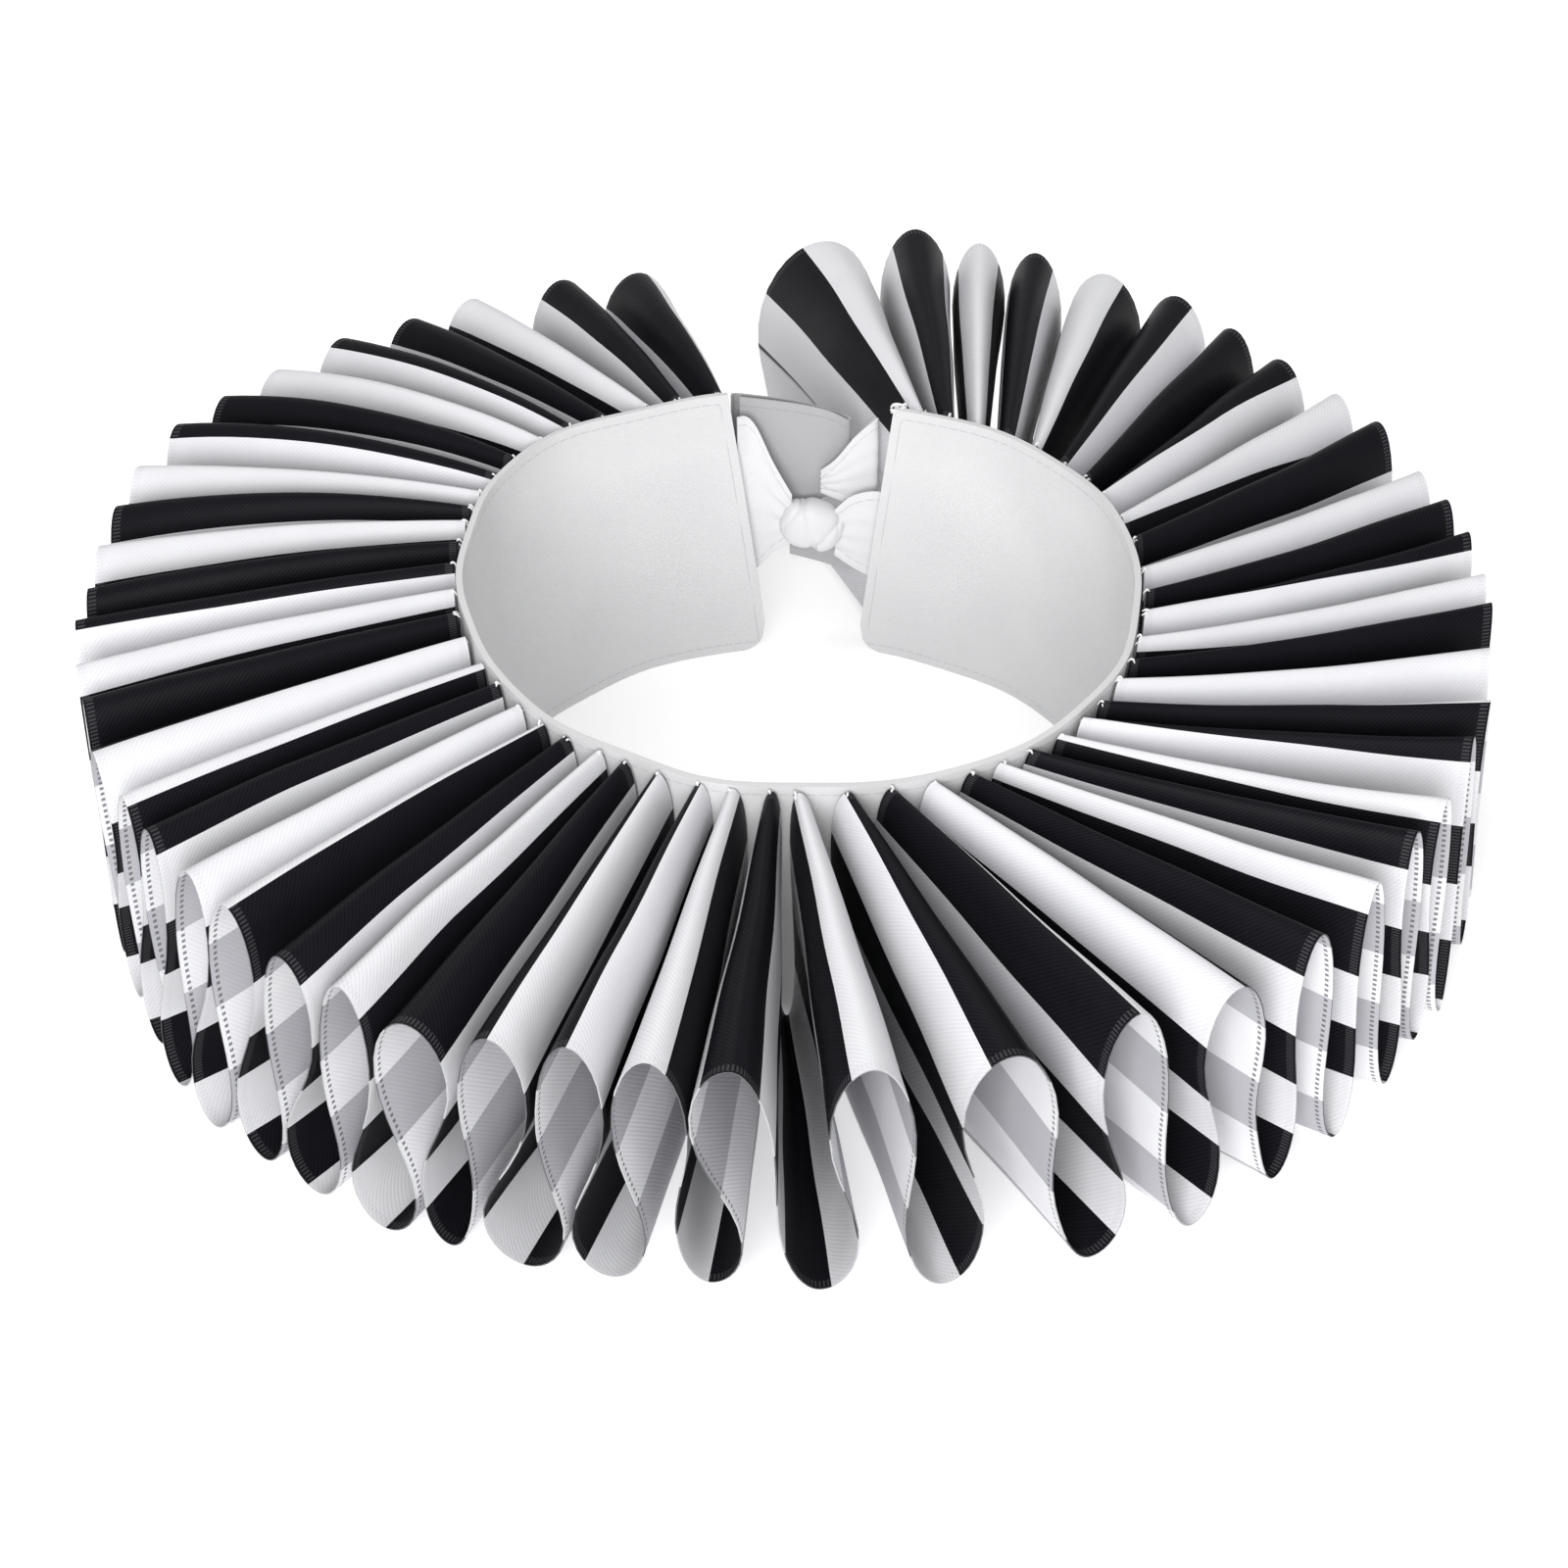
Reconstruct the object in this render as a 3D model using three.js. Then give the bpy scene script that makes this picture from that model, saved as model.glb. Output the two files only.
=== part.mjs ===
// Clown collar: a wide striped satin ribbon, folded on edge into a ruff and sewn
// round a white cotton neckband, which is open at the back and closed by a tied bow.
// Millimetres, +Z up. The front of the collar faces -Y and its open back faces +Y.
// Angles are in degrees round the neck, from 0 at the front towards +X.

import * as THREE from "three";
import { mergeVertices } from "three/addons/utils/BufferGeometryUtils.js";

// Neckband: a cloth wall that leans in a little towards its lower edge
const BAND_HEIGHT = 56;
const BAND_WALL = 1.2;
const BAND_MEAN_RADIUS = 61;
const BAND_LEFT_END = { top: -168.5, foot: -175 };
const BAND_RIGHT_END = { top: 161, foot: 167 };
const BAND_CORNER_RADIUS = 6;
const BAND_STEPS = { round: 100, up: 3 };
const END_CROWDING = 0.4;

// Each row is the neckband at one angle, a twenty-fourth of a turn after the one before:
// the radius of the middle of its wall along its top and along its foot
const BAND_COLUMNS = ["angle", "top", "foot"];
const BAND_ROWS = [
  [-180, 63, 56.8],
  [-165, 63.9, 56.9],
  [-150, 64.7, 57.1],
  [-135, 66.3, 57.6],
  [-120, 64.9, 58.2],
  [-105, 62.2, 58.8],
  [-90, 60.7, 59.3],
  [-75, 60.4, 59.6],
  [-60, 60.2, 59.7],
  [-45, 61.3, 59.7],
  [-30, 61.5, 59.7],
  [-15, 63, 59.8],
  [0, 63.6, 60],
  [15, 64.6, 60.4],
  [30, 65.4, 60.9],
  [45, 65.5, 61.4],
  [60, 64.5, 61.8],
  [75, 63.4, 61.9],
  [90, 63.1, 61.7],
  [105, 63.4, 61.2],
  [120, 63.5, 60.3],
  [135, 63.2, 59.3],
  [150, 61.6, 58.3],
  [165, 60.7, 57.5],
  [180, 60.4, 57],
];

// Ruffle: heights of the ridges and valleys at the band and at the free edge
const RIBBON_WALL = 1;
const RIBBON_AIR = 0.55;
const SEAM_GAP = 0.65;
const RIDGE_AT_BAND = 55.2;
const RIDGE_AT_EDGE = 51;
const VALLEY_AT_BAND = 3;
const VALLEY_AT_EDGE = 1.2;
const STEPS_PER_FOLD = 12;
const STEPS_ACROSS = 2;
const TURN_CROWDING = 0.045;
const SWELL_AT_REST = 0.155;
const WIDTH_PER_SWELL = 0.94;
const LOBE_AT_BAND = 0.26;
const CREST_ROUNDING = { once: 0.021, twice: 0.017 };
const LOBE_TO_LOOP = { from: 0.25, to: 0.75 };
const END_BELLY = 0.17;

// Each row is one ridge of the ruffle, from the left of the back gap round the front:
// its angle at the band, its angle and radius at the free edge, how much higher than
// RIDGE_AT_EDGE its tip stands and the half width of its lobe. Then come, for the valley
// after it, how far it lies past the middle of the two ridges, the radius that it reaches
// and its own half width. Angles, widths and the valley's shift are in degrees.
const RIDGE_COLUMNS = ["inner", "outer", "reach", "lift", "lobe", "valley", "foot", "loop"];
const RIDGE_ROWS = [
  [-162.2, -164.5, 120, -2, 3, 0, 120, 3],
  [-159, -157.4, 124, -2, 3.2, 0, 123, 3.2],
  [-154.3, -148.7, 127, -2, 3.2, 0, 124, 3.2],
  [-146.5, -142.3, 127, -1, 3.2, 0, 127, 3.2],
  [-140.3, -135, 128.7, 0, 3.2, 0, 128.5, 3.2],
  [-134.1, -127.5, 129.5, 0, 3.2, 0, 128.5, 3.2],
  [-127.3, -121, 130, 1.3, 3.2, 0, 130, 3.2],
  [-121.7, -115.5, 132.4, 1, 3.2, 0, 130, 3.2],
  [-115.8, -108.5, 132, 1, 3.2, 0, 130, 3.2],
  [-111.2, -103, 131, 0, 3, 0, 129, 3],
  [-107, -97, 130, 0, 3, 0, 128.5, 3],
  [-100.5, -91, 129, 0, 3, 0, 128.5, 3],
  [-94.3, -86.5, 130, 0, 3, 0, 128.5, 3],
  [-86.3, -80.3, 129.5, 0, 3, 0, 128.5, 3],
  [-79.2, -75.5, 129, 0, 3, 0, 128.5, 3],
  [-72, -68.5, 130, 0, 3, -0.6, 129, 3],
  [-63.6, -62.3, 129, 0, 2.9, 0, 130, 2.9],
  [-57.5, -57.5, 129, 0, 2.7, 0, 132, 2.8],
  [-50.2, -51.3, 129, 0, 2.4, -0.3, 133, 3],
  [-43.8, -45.7, 130, 1, 2.7, -0.9, 132, 3],
  [-38.8, -39, 132, 0, 2.6, -1.1, 132, 2.9],
  [-32.1, -33.9, 131, -1, 2.6, 0.1, 132.3, 3.6],
  [-27.3, -28.4, 130, -4.3, 3.6, -0.75, 130.5, 2.6],
  [-21.2, -21.9, 130, -1.8, 2.7, -0.9, 130, 3.2],
  [-14.1, -16.1, 129, -0.6, 2.5, -0.4, 128.5, 2.8],
  [-9.1, -10.2, 130, -0.3, 2.9, 1.1, 127, 2.4],
  [-3.3, -4.3, 131, 0, 3.1, 1.3, 128, 2.8],
  [1.8, 5.7, 129, -1.4, 3.1, 0.4, 129, 2.8],
  [8.3, 15.7, 129, -2.3, 3.6, 1.8, 130, 2.7],
  [14.7, 25.4, 129, 0, 2.7, 0.9, 131, 2.3],
  [21.3, 34.1, 129, -2.9, 2.9, 0.85, 130, 1.9],
  [27.2, 42.1, 129, -1, 2, 0.1, 130, 1.9],
  [32.2, 49.4, 128, 0, 1.8, 0.5, 129, 1.8],
  [38, 56.5, 126.3, 0, 1.8, 0.5, 128, 1.8],
  [43.8, 61.5, 127, 0, 1.8, -2, 129, 1.8],
  [49.4, 70, 126, 0, 2, 0, 128, 2],
  [54.5, 75.3, 127, 0, 2, 0, 128, 2],
  [61, 82.5, 126, 0, 2.2, 0, 127, 2.2],
  [66.4, 89, 127.3, 0, 2.1, 0, 127, 2.1],
  [72.7, 93.2, 127.5, 0, 2, 0, 127, 2],
  [80.4, 98.8, 127.5, 1, 2.2, 0, 127, 2.2],
  [86, 103.6, 127, 1.3, 2.7, 0, 127, 2.4],
  [92.5, 109.1, 127, 0, 3, 0, 127, 2.8],
  [101.5, 117, 128, 0.8, 2.9, 0, 128, 2.8],
  [108.4, 123, 128, 0, 2.8, 0, 128, 2.8],
  [115.8, 130.2, 128, 0, 3.3, 0, 128, 3.2],
  [121.2, 136.8, 130, 0, 3.1, 0, 130, 3.3],
  [127.3, 143.4, 132, 1, 3.6, 0, 131, 3.4],
  [133.5, 150.6, 132, 1, 3.9, 0, 131, 3.2],
  [139.8, 157.5, 132, 2, 3.1, 0, 131, 2.8],
  [145.5, 162.8, 132, 2, 2.9, 0, 131, 2.7],
  [151.5, 168.7, 131, 4, 3.8, 0, 130, 3.2],
  [156.4, 176.8, 129, 1, 4.2, 0, 128, 4],
];

// Where the next ridge would be beyond either end: the ribbon stops halfway there, and
// its right end hangs with a belly
const LEFT_TURN = {
  inner: -169.5, outer: -172, reach: 122, lift: -2, lobe: 3, valley: 0, foot: 121, loop: 3,
};
const RIGHT_TURN = {
  inner: 167.6, outer: 191.5, reach: 128, lift: 0, lobe: 4, valley: 0, foot: 128, loop: 4,
};

// Tie: white satin ribbon, its straps, knot, loops and tail, all behind the back gap
const TIE_WALL = 1;
const KNOT = { x: 4.1, y: 61.9, z: 25, halfX: 4.2, halfY: 4, halfZ: 6, squareness: 2.6 };
const TIE_STEPS = { short: 6, middle: 14, long: 24, across: 3 };

const SATIN_STRIPE = { color: 0xcfcfd4, roughness: 0.42, metalness: 0 };
const WHITE_COTTON = { color: 0xf0f0ef, roughness: 0.85, metalness: 0 };
const WHITE_SATIN = { color: 0xe6e6e8, roughness: 0.45, metalness: 0 };

const mix = THREE.MathUtils.lerp;
const radians = THREE.MathUtils.degToRad;
const degrees = THREE.MathUtils.radToDeg;

const rowsByColumn = (columns, rows) => rows.map((row) =>
  Object.fromEntries(columns.map((column, place) => [column, row[place]])));

// A solid sheet: surface(u, v) gives points for u and v from 0 to 1, and the wall
// stands half to each side of it, along offset(u, v) or the surface's own normal.
function sheetGeometry(surface, wall, steps, offset = null) {
  const box = new THREE.BoxGeometry(1, 1, 1, steps.u, steps.v, 1);
  box.deleteAttribute("normal");
  box.deleteAttribute("uv");
  const geometry = mergeVertices(box);
  const places = geometry.getAttribute("position");
  const delta = 1e-4;
  for (let index = 0; index < places.count; index += 1) {
    const u = places.getX(index) + 0.5;
    const v = places.getY(index) + 0.5;
    const side = places.getZ(index) * 2;
    const point = surface(u, v);
    let normal;
    if (offset) {
      normal = offset(u, v);
    } else {
      const uLow = Math.max(u - delta, 0);
      const uHigh = Math.min(u + delta, 1);
      const vLow = Math.max(v - delta, 0);
      const vHigh = Math.min(v + delta, 1);
      const alongU = surface(uHigh, v).sub(surface(uLow, v));
      const alongV = surface(u, vHigh).sub(surface(u, vLow));
      normal = alongU.cross(alongV).normalize();
    }
    point.addScaledVector(normal, side * wall / 2);
    places.setXYZ(index, point.x, point.y, point.z);
  }
  geometry.computeVertexNormals();
  return geometry;
}

function namedMesh(name, geometry, finish) {
  const material = new THREE.MeshStandardMaterial(finish);
  const mesh = new THREE.Mesh(geometry, material);
  mesh.name = name;
  return mesh;
}

// The rows are evenly spaced, so a place on the curve is a share of the whole turn
const bandOutline = new THREE.CatmullRomCurve3(
  rowsByColumn(BAND_COLUMNS, BAND_ROWS).map(({ angle, top, foot }) =>
    new THREE.Vector3(angle, top, foot)),
  false,
  "catmullrom",
);

// Middle of the neckband's wall at an angle and height, moved outwards by out
function bandPoint(angle, height, out = 0) {
  const { y: top, z: foot } = bandOutline.getPoint((angle + 180) / 360);
  const radius = mix(foot, top, height / BAND_HEIGHT) + out;
  const turn = radians(angle);
  return new THREE.Vector3(radius * Math.sin(turn), -radius * Math.cos(turn), height);
}

function bandGeometry() {
  const endAt = (end, height) => mix(end.foot, end.top, height / BAND_HEIGHT);
  const length = radians(BAND_RIGHT_END.foot - BAND_LEFT_END.foot) * BAND_MEAN_RADIUS;
  const footHeight = (along) => {
    const toEnd = Math.min(along, 1 - along) * length;
    const inCorner = Math.max(BAND_CORNER_RADIUS - toEnd, 0);
    return BAND_CORNER_RADIUS - Math.sqrt(BAND_CORNER_RADIUS ** 2 - inCorner ** 2);
  };
  // More steps fall in the two rounded corners than along the rest of the band
  const surface = (u, v) => {
    const along = u - END_CROWDING * Math.sin(2 * Math.PI * u) / (2 * Math.PI);
    const height = mix(footHeight(along), BAND_HEIGHT, v);
    const angle = mix(endAt(BAND_LEFT_END, height), endAt(BAND_RIGHT_END, height), along);
    return bandPoint(angle, height);
  };
  const outwards = (u, v) => {
    const point = surface(u, v);
    return new THREE.Vector3(point.x, point.y, 0).normalize();
  };
  const steps = { u: BAND_STEPS.round, v: BAND_STEPS.up };
  return sheetGeometry(surface, BAND_WALL, steps, outwards);
}

const RIDGES = rowsByColumn(RIDGE_COLUMNS, RIDGE_ROWS);
const TURNS = [LEFT_TURN, ...RIDGES, RIGHT_TURN];

// Half widths in degrees, less wherever two neighbours would otherwise not leave the
// ribbon's wall and some air between their middles
function roomyWidths(centres, widths, reaches) {
  const shares = centres.slice(1).map((centre, k) => {
    const gap = degrees((RIBBON_WALL + RIBBON_AIR) / Math.min(reaches[k], reaches[k + 1]));
    return Math.min((centre - centres[k] - gap) / (widths[k] + widths[k + 1]), 1);
  });
  return widths.map((width, k) => width * Math.min(shares[k - 1] ?? 1, shares[k] ?? 1));
}

const LOBE_CENTRES = TURNS.map((turn) => turn.outer);
const LOBE_WIDTHS = roomyWidths(
  LOBE_CENTRES,
  TURNS.map((turn) => turn.lobe),
  TURNS.map((turn) => turn.reach),
);
const LOOP_CENTRES = TURNS.slice(1).map((next, k) =>
  (TURNS[k].outer + next.outer) / 2 + TURNS[k].valley);
const LOOP_WIDTHS = roomyWidths(
  LOOP_CENTRES,
  TURNS.slice(0, -1).map((turn) => turn.loop),
  TURNS.slice(0, -1).map((turn) => turn.foot),
);

// How far a fold swells out on its way from one turn to the next. Share runs from 0 to 1
// on the way, and halfWidth is that of the turn in shares of the way.
function swelling(share, halfWidth) {
  const size = Math.max((halfWidth / 2 - SWELL_AT_REST) / WIDTH_PER_SWELL, 0);
  return 2 * size * Math.sin(2 * Math.PI * share);
}

// Angle of the free edge, where u runs from 0 at one ridge to 1 at the next. The ribbon
// swells past its ridge and past its valley, so each fold is like a figure of eight.
function freeEdgeAngle(turn, u) {
  const near = u < 0.5 ? turn : turn + 1;
  const share = 2 * Math.min(u, 1 - u);
  const step = LOOP_CENTRES[turn] - LOBE_CENTRES[near];
  const top = swelling(share, LOBE_WIDTHS[near] / Math.abs(step));
  const foot = swelling(share, LOOP_WIDTHS[turn] / Math.abs(step));
  const { from, to } = LOBE_TO_LOOP;
  const swell = mix(top, foot, THREE.MathUtils.smoothstep(share, from, to));
  return LOBE_CENTRES[near] + step * (share + swell);
}

// A point of the ruffle: place counts ridges from 0, across runs from band to edge
function rufflePoint(place, across) {
  const first = Math.floor(Math.min(place, RIDGES.length - 0.5));
  const u = place - first;
  const turn = first + 1;
  const here = TURNS[turn];
  const next = TURNS[turn + 1];
  const rise = (1 + Math.cos(2 * Math.PI * u)) / 2;

  const innerPitch = radians(next.inner - here.inner) * BAND_MEAN_RADIUS;
  const widest = 0.5 - (RIBBON_WALL + RIBBON_AIR) / (2 * innerPitch);
  const innerSwell = swelling(2 * u, 2 * Math.min(LOBE_AT_BAND, widest)) / 2;
  const innerAngle = mix(here.inner, next.inner, u + innerSwell);
  const innerHeight = mix(VALLEY_AT_BAND, RIDGE_AT_BAND, rise);
  const seam = bandPoint(innerAngle, innerHeight, BAND_WALL / 2 + SEAM_GAP);

  const belly = next === RIGHT_TURN ? END_BELLY * Math.sin(2 * Math.PI * u) : 0;
  const angle = radians(freeEdgeAngle(turn, u) + belly * (next.outer - here.outer));
  const reach = mix(here.foot, mix(here.reach, next.reach, u), rise);
  const rounded = u + CREST_ROUNDING.once * Math.sin(2 * Math.PI * u)
    + CREST_ROUNDING.twice * Math.sin(4 * Math.PI * u);
  const outerRise = (1 + Math.cos(2 * Math.PI * rounded)) / 2;
  const crest = RIDGE_AT_EDGE + mix(here.lift, next.lift, u);
  const height = mix(VALLEY_AT_EDGE, crest, outerRise);
  const edge = new THREE.Vector3(reach * Math.sin(angle), -reach * Math.cos(angle), height);
  return seam.lerp(edge, across);
}

function ruffleGeometry() {
  const first = -0.5;
  const last = RIDGES.length - 0.5;
  // More steps fall at the ridges and valleys, where the ribbon turns
  const surface = (u, v) => {
    const place = mix(first, last, u);
    return rufflePoint(place - TURN_CROWDING * Math.sin(4 * Math.PI * place), v);
  };
  const steps = { u: RIDGES.length * STEPS_PER_FOLD, v: STEPS_ACROSS };
  return sheetGeometry(surface, RIBBON_WALL, steps);
}

// Each row is one section of a strap or loop: its middle, its half width and how far its
// width leans back from upright, in degrees
const SECTION_COLUMNS = ["x", "y", "z", "half", "lean"];
const LEFT_STRAP_SECTIONS = [
  [-14, 60.9, 33, 17, 7],
  [-10.5, 61.6, 33, 17, 7],
  [-7, 61.9, 32, 15.5, 6],
  [-3.8, 61.8, 28.8, 11, 3],
  [-0.7, 61.6, 25.4, 7, 0],
];
const RIGHT_STRAP_SECTIONS = [
  [8.9, 61.2, 25.2, 6.6, 0],
  [11.5, 60.3, 25.6, 8.4, 2],
  [15.2, 58.8, 25.8, 9.6, 3],
  [18.6, 57.7, 26, 9.8, 3],
];
const LEFT_LOOP_SECTIONS = [
  [-10.4, 66.6, 42.4, 10.2, 0],
  [-4, 66.6, 41, 10.8, 0],
  [2.4, 66.5, 39.4, 11.4, 0],
  [7.4, 66.8, 39.6, 9.6, 0],
  [10.8, 68.2, 39.8, 6.6, 0],
  [10.4, 70.4, 40, 6.8, 0],
  [5.5, 71.6, 40.6, 8.8, 0],
  [-1, 72.2, 41.4, 9.8, 0],
  [-7.6, 72.4, 42.2, 10.2, 0],
  [-12, 71.2, 42.6, 10.2, 0],
  [-13, 69, 42.6, 10.2, 0],
];
const RIGHT_LOOP_SECTIONS = [
  [5.6, 65.2, 34.2, 2.6, 0],
  [8.5, 64, 35, 4, 0],
  [11.6, 63.2, 36.6, 7, 0],
  [14.4, 62.7, 37.6, 8.8, 0],
  [15.8, 63.5, 37.6, 8.6, 0],
  [14.2, 64.6, 37.2, 8, 0],
  [11.4, 65.1, 36, 5.6, 0],
];
const TAIL_SECTIONS = [
  [-0.6, 65.5, 18.2, 2.6, 0],
  [4.4, 66.5, 17.2, 4.4, 0],
  [9.4, 65.8, 16.4, 5, 0],
  [14, 64, 14.8, 4.6, 0],
];

function strapGeometry(rows, lengthSteps) {
  const low = [];
  const high = [];
  for (const { x, y, z, half, lean } of rowsByColumn(SECTION_COLUMNS, rows)) {
    const middle = new THREE.Vector3(x, y, z);
    const width = new THREE.Vector3(0, Math.sin(radians(lean)), Math.cos(radians(lean)));
    low.push(middle.clone().addScaledVector(width, -half));
    high.push(middle.clone().addScaledVector(width, half));
  }
  const lowEdge = new THREE.CatmullRomCurve3(low, false, "centripetal");
  const highEdge = new THREE.CatmullRomCurve3(high, false, "centripetal");
  const surface = (u, v) => lowEdge.getPoint(u).lerp(highEdge.getPoint(u), v);
  return sheetGeometry(surface, TIE_WALL, { u: lengthSteps, v: TIE_STEPS.across });
}

// The knot: a ball whose sides are drawn out towards a block with round corners
function knotGeometry() {
  const ball = new THREE.SphereGeometry(1, 14, 8);
  ball.deleteAttribute("normal");
  ball.deleteAttribute("uv");
  const geometry = mergeVertices(ball);
  const places = geometry.getAttribute("position");
  const power = 2 / KNOT.squareness;
  const draw = (value) => Math.sign(value) * Math.abs(value) ** power;
  for (let index = 0; index < places.count; index += 1) {
    const x = draw(places.getX(index)) * KNOT.halfX;
    const y = draw(places.getY(index)) * KNOT.halfY;
    const z = draw(places.getZ(index)) * KNOT.halfZ;
    places.setXYZ(index, KNOT.x + x, KNOT.y + y, KNOT.z + z);
  }
  geometry.computeVertexNormals();
  return geometry;
}

function strap(name, rows, lengthSteps) {
  return namedMesh(name, strapGeometry(rows, lengthSteps), WHITE_SATIN);
}

const group = new THREE.Group();
group.add(
  namedMesh("neckband", bandGeometry(), WHITE_COTTON),
  namedMesh("ruffle_ribbon", ruffleGeometry(), SATIN_STRIPE),
  namedMesh("bow_knot", knotGeometry(), WHITE_SATIN),
  strap("tie_strap_left", LEFT_STRAP_SECTIONS, TIE_STEPS.short),
  strap("tie_strap_right", RIGHT_STRAP_SECTIONS, TIE_STEPS.short),
  strap("bow_loop_left", LEFT_LOOP_SECTIONS, TIE_STEPS.long),
  strap("bow_loop_right", RIGHT_LOOP_SECTIONS, TIE_STEPS.middle),
  strap("bow_tail", TAIL_SECTIONS, TIE_STEPS.short),
);

// The origin is under the middle of the collar, on the surface that it stands on
const bounds = new THREE.Box3().setFromObject(group);
const middle = bounds.getCenter(new THREE.Vector3());
group.position.set(-middle.x, -middle.y, -bounds.min.z);
group.updateMatrixWorld(true);

export default group;
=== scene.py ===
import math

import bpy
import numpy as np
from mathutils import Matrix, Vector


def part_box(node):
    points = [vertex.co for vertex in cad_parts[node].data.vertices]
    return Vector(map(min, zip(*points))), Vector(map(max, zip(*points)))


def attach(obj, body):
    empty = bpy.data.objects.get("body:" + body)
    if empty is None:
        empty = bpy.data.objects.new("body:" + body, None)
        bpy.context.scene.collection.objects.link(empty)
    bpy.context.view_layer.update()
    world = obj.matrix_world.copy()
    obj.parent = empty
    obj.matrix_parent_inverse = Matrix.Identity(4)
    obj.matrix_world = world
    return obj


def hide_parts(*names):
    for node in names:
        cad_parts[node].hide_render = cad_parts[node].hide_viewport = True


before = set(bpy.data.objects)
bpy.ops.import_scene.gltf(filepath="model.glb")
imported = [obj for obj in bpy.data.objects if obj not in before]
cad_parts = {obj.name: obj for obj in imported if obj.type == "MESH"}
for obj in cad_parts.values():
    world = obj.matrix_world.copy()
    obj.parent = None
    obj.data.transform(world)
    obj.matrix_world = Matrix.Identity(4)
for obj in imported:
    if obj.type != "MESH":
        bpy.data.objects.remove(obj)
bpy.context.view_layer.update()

# A clown collar: a striped satin ribbon folded on edge into a ruff round a white cotton
# neckband, tied with a bow at the back. Metres, +Z up, front towards -Y, back gap at +Y.
# Angles are in degrees round the neck, from 0 at the front towards +X.

MM = 0.001
random = np.random.default_rng(53)

# Neckband, whose rows are its outline at one angle, a twenty-fourth of a turn after the
# one before: the radius of the middle of its wall along its top and its foot, in mm
BAND_LOW, BAND_HIGH = (np.array(corner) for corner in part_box("neckband"))
BAND_HEIGHT = BAND_HIGH[2] - BAND_LOW[2]
BAND_WALL = 1.2 * MM
BAND_MEAN_RADIUS = 61 * MM
BAND_LEFT_END = {"top": -168.5, "foot": -175}
BAND_RIGHT_END = {"top": 161, "foot": 167}
BAND_CORNER_RADIUS = 6 * MM
BAND_DENT = 0.4 * MM
BAND_POINTS = {"points_round": 420, "points_up": 40}
BAND_OUTLINE_POINTS = {"points_round": 400, "points_up": 12}
BAND_COLUMNS = ("angle", "top", "foot")
BAND_ROWS = [
    (-180, 63, 56.8),
    (-165, 63.9, 56.9),
    (-150, 64.7, 57.1),
    (-135, 66.3, 57.6),
    (-120, 64.9, 58.2),
    (-105, 62.2, 58.8),
    (-90, 60.7, 59.3),
    (-75, 60.4, 59.6),
    (-60, 60.2, 59.7),
    (-45, 61.3, 59.7),
    (-30, 61.5, 59.7),
    (-15, 63, 59.8),
    (0, 63.6, 60),
    (15, 64.6, 60.4),
    (30, 65.4, 60.9),
    (45, 65.5, 61.4),
    (60, 64.5, 61.8),
    (75, 63.4, 61.9),
    (90, 63.1, 61.7),
    (105, 63.4, 61.2),
    (120, 63.5, 60.3),
    (135, 63.2, 59.3),
    (150, 61.6, 58.3),
    (165, 60.7, 57.5),
    (180, 60.4, 57),
]

# Ruffle ribbon
RIBBON_WALL = 0.25 * MM
RIBBON_AIR = 0.35 * MM
SEAM_GAP = 0.35 * MM
RIDGE_AT_BAND = 55.4 * MM
RIDGE_AT_EDGE = 51 * MM
VALLEY_AT_BAND = 3 * MM
VALLEY_AT_EDGE = 1.2 * MM
STRIPE_PERIOD = 24 * MM
RIBBON_WIDTH = 70 * MM
STEPS_PER_FOLD = 44
STEPS_ACROSS = 16
TURN_CROWDING = 0.04
CREST_ROUNDING = {"once": 0.021, "twice": 0.017}
LOBE_AT_BAND = 0.35
PINCH_AT_BAND = 0.03
END_BELLY = 0.17

# The half width of a turn, in shares of a fold: what it has without swelling, and what it
# gains from a swell of one
SWELL_AT_REST = 0.155
WIDTH_PER_SWELL = 0.94

# The cloth's sway: how many waves run from the band to the free edge, and how far it goes
SWAY = {1: 0.5 * MM, 2: 0.32 * MM}

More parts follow.
